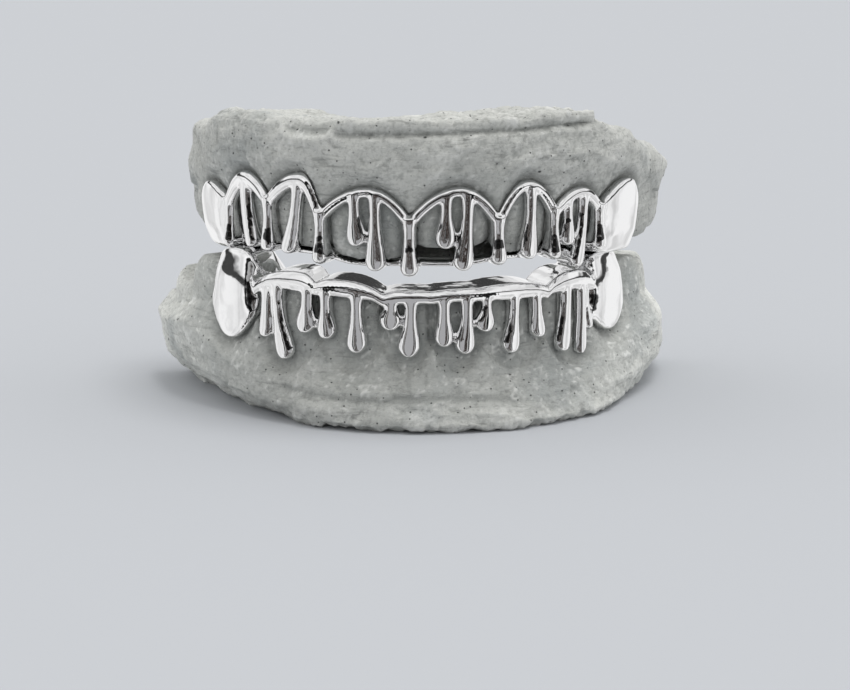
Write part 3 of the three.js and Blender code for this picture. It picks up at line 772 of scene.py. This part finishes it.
def stone(jaw, name, marks, metal):
    """One cast with its chips, flakes and creases, and at each point its stain and painted shade by the
    metal, painted shade in creases, wear and grey darkening.
    """
    bm = bmesh.new()
    cast_shell(bm, jaw, 0, SLOT)
    piece = mesh_object(name, bm)
    remesh(piece, STONE_SKIN, STONE_ROUNDS)
    mesh = piece.data
    lines = [(tree_of(mark_points(jaw, mark)), mark["rise"] * RELIEF, mark["width"]) for mark in marks]
    metal_tree = tree_of(v.co / MM for v in metal.data.vertices if v.index % 3 == 0)
    stain_and_shade = mesh.attributes.new("stain_and_shade", "FLOAT", "POINT")
    shade = mesh.attributes.new("shade", "FLOAT", "POINT")
    worn = mesh.attributes.new("worn", "FLOAT", "POINT")
    metal_darkening = mesh.attributes.new("metal_darkening", "FLOAT", "POINT")
    spots = [(v.co.copy(), v.normal.copy()) for v in mesh.vertices]
    metal_darkening_strength = DARKENING_LOWER if jaw.bar else DARKENING_UPPER
    top = jaw.bite + jaw.gumward * jaw.height
    for i, (v, (p, normal)) in enumerate(zip(mesh.vertices, spots)):
        far = jaw.gumward * (p.z - jaw.bite) - jaw.crown
        bare = smoothstep(0.0, 2.5, far)
        rim = math.exp(-abs(p.z - top) / CRUMBLE_REACH)
        coarse = lumps(p, COARSE)
        middle = lumps(p, MIDDLE)
        fine = lumps(p, FINE)
        flakes = smoothstep(0.05, 0.11, noise.noise(Vector((p.x * 0.23, p.y * 0.23, p.z * 0.42))))
        crumbs = max(0.0, noise.noise(p * 1.3 + Vector((1, 2, 3))) - 0.1)
        move = 0.05 * fine + 0.05 * middle + bare * (0.2 * coarse + 0.13 * middle + 0.1 * flakes)
        move += rim * (0.35 * coarse + 0.22 * middle + 0.4 * crumbs - 0.08)
        # groove carries the painted shade in the creases of the marks.
        groove = 0.0
        for tree, rise, width in lines:
            near = closeness(tree, p, width)
            move += rise * near
            groove += near if rise < 0 else -0.5 * near
        v.co = p + normal * move
        v.co.z = max(v.co.z, 0.0)
        # Right by the metal the stone darkens, partly as stain and partly as painted contact shadow.
        stain_and_shade.data[i].value = closeness(metal_tree, p, STAIN_AND_SHADE_REACH)
        metal_darkening.data[i].value = closeness(metal_tree, p, DARKENING_REACH) * metal_darkening_strength
        # worn also sets the painted shade in the hollows, where it is low.
        worn.data[i].value = 0.3 * middle + 0.4 * fine + 0.12 * (flakes - 0.5) + 0.8 * rim * crumbs
        shade.data[i].value = groove
    for face in mesh.polygons:
        face.use_smooth = True
    to_metres(piece)
    return piece


# Materials.
STONE_DARK = (0.48, 0.488, 0.463)
STONE_MIDDLE = (0.575, 0.582, 0.553)
STONE_PALE = (0.66, 0.665, 0.633)
STONE_DAMP = (0.72, 0.745, 0.77)
# Stain and painted contact shadow right beside the metal.
STONE_STAIN_AND_SHADE = (0.19, 0.2, 0.195)
# Painted shade in the creases of the stone.
STONE_CREASE_SHADE = (0.2, 0.21, 0.2)
STONE_DARKENING = (0.25, 0.26, 0.25)
STONE_CHALK = (0.72, 0.725, 0.7)
# Painted shade in the hollows of the stone.
STONE_HOLLOW_SHADE = (0.26, 0.27, 0.255)
# Painted shade inside the air bubbles.
BUBBLE_SHADE = (0.1, 0.105, 0.1)
WHITE_GOLD = (0.87, 0.87, 0.875)
PAPER = (0.492, 0.508, 0.533)
# Grey of the painted reflection that the floor shows to the metal.
PAINTED_REFLECTION_GREY = (0.42, 0.42, 0.43)
BACKDROP = (0.6, 0.62, 0.655)

# Air bubbles: cells to a metre, share of the cells without a bubble, radius in cells, and depth.
BUBBLES = rows(
    "scale bare reach depth",
    (1500, 0.7, 0.17, 0.5),
    (700, 0.87, 0.14, 0.8),
    (250, 0.93, 0.075, 1.2),
)

# Where the paler colour on the sides of the lower cast starts and is full, and where it ends above: metres.
PALE_SIDE_START = 0.013
PALE_SIDE_FULL = 0.021
PALE_SIDE_TOP = 0.014
PALE_SIDE_GONE = 0.016


class NodeTree:
    """The nodes of a material or of the world, with short ways to add one."""

    def __init__(self, tree):
        self.nodes = tree.nodes
        self.links = tree.links

    def add(self, kind, settings=None, inputs=None):
        """A node with its settings, and its inputs set to a value or linked to an output."""
        made = self.nodes.new("ShaderNode" + kind)
        for key, value in (settings or {}).items():
            setattr(made, key, value)
        for key, value in (inputs or {}).items():
            if isinstance(value, bpy.types.NodeSocket):
                self.links.new(value, made.inputs[key])
            else:
                made.inputs[key].default_value = value
        return made

    def math(self, operation, *values):
        return self.add("Math", {"operation": operation}, dict(enumerate(values))).outputs["Value"]

    def remap(self, value, start, end, low=0, high=1):
        inputs = {"Value": value, "From Min": start, "From Max": end, "To Min": low, "To Max": high}
        return self.add("MapRange", inputs=inputs).outputs["Result"]

    def noise(self, vector, scale, detail, roughness=0.5, distortion=0.0):
        inputs = {"Vector": vector, "Scale": scale, "Detail": detail, "Roughness": roughness,
                  "Distortion": distortion}
        return self.add("TexNoise", inputs=inputs).outputs["Fac"]

    def attribute(self, name):
        return self.add("Attribute", {"attribute_name": name}).outputs["Fac"]

    def ramp(self, factor, stops):
        """A colour ramp from (place, colour or grey) stops."""
        made = self.add("ValToRGB", inputs={"Fac": factor})
        elements = made.color_ramp.elements
        while len(elements) > 1:
            elements.remove(elements[-1])
        for i, (place, value) in enumerate(stops):
            stop = elements[0] if i == 0 else elements.new(place)
            stop.position = place
            stop.color = (value, value, value, 1) if isinstance(value, (int, float)) else (*value, 1)
        return made.outputs["Color"]

    def blend(self, kind, factor, a, b):
        """Two colours mixed. The Mix node's inputs 6 and 7 are its colours."""
        first, second = [(*value, 1) if isinstance(value, tuple) else value for value in (a, b)]
        settings = {"data_type": "RGBA", "blend_type": kind}
        return self.add("Mix", settings, {0: factor, 6: first, 7: second}).outputs[2]

    def either(self, factor, first, second):
        """The first shader where the factor is 0, and the second where it is 1."""
        return self.add("MixShader", inputs={0: factor, 1: first, 2: second}).outputs[0]


def material(name):
    made = bpy.data.materials.new(name)
    made.use_nodes = True
    return made, NodeTree(made.node_tree), made.node_tree.nodes["Principled BSDF"]


def polished_white_gold():
    """A mirror polish with the faint ripple that hand buffing leaves."""
    made, tree, shader = material("polished_white_gold")
    place = tree.add("TexCoord").outputs["Object"]
    ripple = tree.noise(place, 650, 1.5)
    bump = tree.add("Bump", inputs={"Height": ripple, "Strength": 0.35, "Distance": 0.00012})
    haze = tree.remap(tree.noise(place, 3500, 2), 0.3, 0.75, 0.035, 0.1)
    tree.links.new(haze, shader.inputs["Roughness"])
    tree.links.new(bump.outputs["Normal"], shader.inputs["Normal"])
    shader.inputs["Base Color"].default_value = (*WHITE_GOLD, 1)
    shader.inputs["Metallic"].default_value = 1
    return made


def stone_clouds(tree, place, scrape, grain):
    """Cloudy grey-green with scrapes, specks and damp patches."""
    clouds = tree.noise(place, 130, 6, 0.62)
    colour = tree.ramp(clouds, ((0.3, STONE_DARK), (0.52, STONE_MIDDLE), (0.72, STONE_PALE)))
    scrapes = tree.ramp(scrape, ((0.34, 0.66), (0.43, 0.98), (0.57, 1.0), (0.66, 1.16)))
    colour = tree.blend("MULTIPLY", 1.0, colour, scrapes)
    specks = tree.ramp(grain, ((0.35, 0.72), (0.48, 1.0), (0.6, 1.03), (0.7, 1.16)))
    colour = tree.blend("MULTIPLY", 1.0, colour, specks)
    damp = tree.ramp(tree.noise(place, 95, 4, 0.55), ((0.56, 0), (0.66, 0.75)))
    return tree.blend("MULTIPLY", damp, colour, STONE_DAMP)


def stone_wear_and_shade(tree, colour):
    """A dark band by the metal, partly stain and partly painted shade, painted shade in the creases, a grey
    darkening near the metal, chalky edges, and painted shade in the hollows.
    """
    # A dark band by the metal: partly stain, partly painted contact shadow in the gap.
    stain_and_shade_halo = tree.ramp(tree.attribute("stain_and_shade"), ((0.0, 0.0), (0.25, 0.15), (1.0, 0.62)))
    colour = tree.blend("MIX", stain_and_shade_halo, colour, STONE_STAIN_AND_SHADE)
    # Painted shade in the creases.
    crease_shade = tree.ramp(tree.attribute("shade"), ((0.15, 0.0), (1.0, 0.6)))
    colour = tree.blend("MIX", crease_shade, colour, STONE_CREASE_SHADE)
    # A grey darkening that reaches far from the metal, strongest on the lower cast.
    colour = tree.blend("MIX", tree.attribute("metal_darkening"), colour, STONE_DARKENING)
    high = tree.remap(tree.attribute("worn"), -0.5, 0.5)
    chalk = tree.ramp(high, ((0.6, 0.0), (0.95, 0.7)))
    colour = tree.blend("MIX", chalk, colour, STONE_CHALK)
    # Painted shade in the hollows, where the stone sinks in.
    hollow_shade = tree.ramp(high, ((0.1, 0.5), (0.4, 0.0)))
    return tree.blend("MIX", hollow_shade, colour, STONE_HOLLOW_SHADE)


def pale_lower_sides(tree, place, colour):
    """Paler colour on the two sides of the lower cast."""
    split = tree.add("SeparateXYZ", inputs={0: place})
    aside = tree.math("ABSOLUTE", split.outputs["X"])
    paler = tree.ramp(tree.remap(aside, PALE_SIDE_START, PALE_SIDE_FULL), ((0.0, 1.0), (1.0, 1.28)))
    low = tree.remap(split.outputs["Z"], PALE_SIDE_TOP, PALE_SIDE_GONE, 1, 0)
    return tree.blend("MULTIPLY", low, colour, paler)


def air_bubbles(tree, place, colour, height):
    """Small round pits in three sizes, in the height of the bump and as painted shade in the colour."""
    for row in BUBBLES:
        cells = tree.add("TexVoronoi", inputs={"Vector": place, "Scale": row["scale"], "Randomness": 1})
        pick = tree.add("SeparateColor", inputs={"Color": cells.outputs["Color"]}).outputs["Red"]
        chosen = tree.math("GREATER_THAN", pick, row["bare"])
        pit = tree.remap(cells.outputs["Distance"], row["reach"] * 0.55, row["reach"], 1, 0)
        bubble = tree.math("MULTIPLY", pit, chosen)
        # Painted shade in each pit.
        colour = tree.blend("MIX", bubble, colour, BUBBLE_SHADE)
        height = tree.math("MULTIPLY_ADD", bubble, -row["depth"], height)
    return colour, height


def dental_stone():
    """Grey-green plaster, drawn out along its scrapes, dull and a little rough."""
    made, tree, shader = material("dental_stone")
    place = tree.add("TexCoord").outputs["Object"]
    drawn = tree.add("Mapping", inputs={
        "Vector": place,
        "Rotation": (0.15, 0.3, 0.2),
        "Scale": (0.35, 0.35, 1.6),
    }).outputs["Vector"]
    grain = tree.noise(place, 2400, 5, 0.75)
    scrape = tree.noise(drawn, 900, 6, 0.65, 0.8)
    colour = stone_clouds(tree, place, scrape, grain)
    colour = stone_wear_and_shade(tree, colour)
    colour = pale_lower_sides(tree, place, colour)
    height = tree.math("MULTIPLY_ADD", grain, 0.55, scrape)
    colour, height = air_bubbles(tree, place, colour, height)
    bump = tree.add("Bump", inputs={"Height": height, "Strength": 0.85, "Distance": 0.00024})
    tree.links.new(colour, shader.inputs["Base Color"])
    tree.links.new(bump.outputs["Normal"], shader.inputs["Normal"])
    shader.inputs["Roughness"].default_value = 0.92
    shader.inputs["Specular IOR Level"].default_value = 0.25
    return made


gold = polished_white_gold()
plaster = dental_stone()
for jaw, marks, cast_name, grill_name in ((LOWER, LOWER_MARKS, "lower_cast", "lower_grill"),
                                          (UPPER, UPPER_MARKS, "upper_cast", "upper_grill")):
    metal = grill(jaw, grill_name + "_metal")
    body = stone(jaw, cast_name + "_stone", marks, metal)
    body.data.materials.append(plaster)
    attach(body, "root")
    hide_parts(cast_name)
    metal.data.materials.append(gold)
    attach(metal, "root")
    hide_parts(grill_name)
    for piece in (body, metal):
        print(piece.name, sum(len(face.vertices) - 2 for face in piece.data.polygons), "triangles")


# Studio.
# The camera: lens and sensor in millimetres, degrees above the level, metres from the middle of the view,
# and that point's height in millimetres.
LENS = 169.41
SENSOR = 36
VIEW_RISE = 12
VIEW_DISTANCE = 0.4
VIEW_HEIGHT = 8.56

# The floor reaches this far each way, in metres.
FLOOR_REACH = 2

# The painted reflection of a grey card that the metal sees on the floor, glowing for glossy rays only: half
# its width for each metre out, and where along y it starts and ends.
REFLECTION_SPREAD = 0.5
REFLECTION_START = -0.02
REFLECTION_END = -0.1075

# What the metal sees round it, as (place, grey or colour) stops: from the sides to straight ahead, through
# the specks of the room ahead, and from below to above.
OPENING = ((0.0, 0.95), (0.3, 0.82), (0.75, 1.0), (0.765, 0.012), (0.85, 0.012), (0.865, 0.55), (0.93, 0.36),
           (0.95, 0.0))
ROOM = ((0.3, 0.3), (0.43, 0.2), (0.455, 0.012), (0.53, (0.05, 0.035, 0.03)), (0.56, 0.02),
        (0.6, (0.16, 0.125, 0.11)), (0.66, 0.34))
SKYLINE = ((0.0, 1.0), (0.49, 1.0), (0.5, 0.07), (0.575, 0.05), (0.62, 1.0))
OPENING_TILT = 0.15
SKYLINE_DROP = 0.3
TENT_STRENGTH = 1.05

# The light on the stone, from below to above, and how it grows towards both sides.
SKY = ((0.45, 0.42), (0.6, 0.66), (1.0, 0.78))
SIDES = ((0.2, 1.0), (0.95, 1.6))

# The one lamp: its strength, its width in degrees and the way its light goes.
LAMP_STRENGTH = 1.2
LAMP_WIDTH = 28
LAMP_WAY = (-0.2, 0.0, -0.97)


def photo_camera():
    look = bpy.data.cameras.new("camera")
    look.lens = LENS
    look.sensor_width = SENSOR
    look.clip_end = 10
    eye = bpy.data.objects.new("camera", look)
    rise = math.radians(VIEW_RISE)
    target = Vector((ORIGIN_X, ORIGIN_Y, VIEW_HEIGHT)) * MM
    eye.location = target + Vector((0, -math.cos(rise), math.sin(rise))) * VIEW_DISTANCE
    eye.rotation_euler = (math.radians(90 - VIEW_RISE), 0, 0)
    bpy.context.scene.collection.objects.link(eye)
    return eye


def pale_paper():
    """Plain paper. In the polished metal a wedge of it in front glows grey as a painted reflection of a
    card, and the rest is open air.
    """
    made, tree, shader = material("pale_paper")
    shader.inputs["Base Color"].default_value = (*PAPER, 1)
    shader.inputs["Roughness"].default_value = 0.9
    shader.inputs["Specular IOR Level"].default_value = 0.1
    place = tree.add("SeparateXYZ", inputs={0: tree.add("TexCoord").outputs["Object"]})
    aside = tree.math("ABSOLUTE", place.outputs["X"])
    half_width = tree.math("MULTIPLY_ADD", place.outputs["Y"], -REFLECTION_SPREAD, REFLECTION_SPREAD * REFLECTION_START)
    wedge = tree.math("LESS_THAN", aside, half_width)
    near = tree.math("GREATER_THAN", place.outputs["Y"], REFLECTION_END)
    inside = tree.math("MULTIPLY", wedge, near)
    # Painted reflection: the floor glows grey here for glossy rays only, as if a card lay there.
    painted_reflection = tree.add("Emission", inputs={"Color": (*PAINTED_REFLECTION_GREY, 1)}).outputs[0]
    air = tree.add("BsdfTransparent").outputs[0]
    mirrored = tree.either(inside, air, painted_reflection)
    glossy = tree.add("LightPath").outputs["Is Glossy Ray"]
    both = tree.either(glossy, shader.outputs[0], mirrored)
    tree.links.new(both, made.node_tree.nodes["Material Output"].inputs["Surface"])
    return made


def light_tent():
    """Soft light for the stone, a studio to mirror for the metal, and a plain backdrop for the camera."""
    world = bpy.context.scene.world or bpy.data.worlds.new("light_tent")
    bpy.context.scene.world = world
    world.use_nodes = True
    world.node_tree.nodes.clear()
    tree = NodeTree(world.node_tree)
    way = tree.add("TexCoord").outputs["Generated"]
    split = tree.add("SeparateXYZ", inputs={0: way})
    z = split.outputs["Z"]

    wave = tree.noise(way, 2.6, 2)
    forward = (0, -math.cos(OPENING_TILT), -math.sin(OPENING_TILT))
    ahead = tree.add("VectorMath", {"operation": "DOT_PRODUCT"}, {0: way, 1: forward}).outputs["Value"]
    bent = tree.math("MULTIPLY_ADD", wave, 0.14, ahead)
    room = tree.ramp(tree.noise(way, 14, 3), ROOM)
    inside = tree.ramp(bent, ((0.93, 0.0), (0.95, 1.0)))
    opening = tree.blend("MIX", inside, tree.ramp(bent, OPENING), room)
    tone = tree.ramp(wave, ((0.36, 0.72), (0.55, 1.0)))
    behind = tree.math("MAXIMUM", split.outputs["Y"], 0.0)
    lowered = tree.math("MULTIPLY_ADD", behind, -SKYLINE_DROP, z)
    skyline = tree.ramp(tree.remap(lowered, -1, 1), SKYLINE)
    walls = tree.blend("MULTIPLY", 1.0, tree.blend("MULTIPLY", 1.0, opening, tone), skyline)
    tent = tree.add("Background", inputs={"Color": walls, "Strength": TENT_STRENGTH}).outputs[0]

    aside = tree.math("ABSOLUTE", split.outputs["X"])
    sky = tree.ramp(tree.remap(z, -1, 1), SKY)
    sky = tree.blend("MULTIPLY", 1.0, sky, tree.ramp(aside, SIDES))
    soft = tree.add("Background", inputs={"Color": sky, "Strength": 1.0}).outputs[0]
    plain = tree.add("Background", inputs={"Color": (*BACKDROP, 1), "Strength": 1.0}).outputs[0]

    path = tree.add("LightPath")
    lit = tree.either(path.outputs["Is Glossy Ray"], soft, tent)
    seen = tree.either(path.outputs["Is Camera Ray"], lit, plain)
    tree.add("OutputWorld", inputs={"Surface": seen})


def soft_lamp():
    lamp = bpy.data.lights.new("key", "SUN")
    lamp.angle = math.radians(LAMP_WIDTH)
    lamp.energy = LAMP_STRENGTH
    key = bpy.data.objects.new("key", lamp)
    key.rotation_euler = Vector(LAMP_WAY).to_track_quat("-Z", "Y").to_euler()
    key.visible_glossy = False
    bpy.context.scene.collection.objects.link(key)


bpy.context.scene.camera = photo_camera()
bm = bmesh.new()
bmesh.ops.create_grid(bm, x_segments=1, y_segments=1, size=FLOOR_REACH)
floor = mesh_object("floor", bm)
floor.data.materials.append(pale_paper())
light_tent()
soft_lamp()
bpy.context.scene.view_settings.view_transform = "Standard"
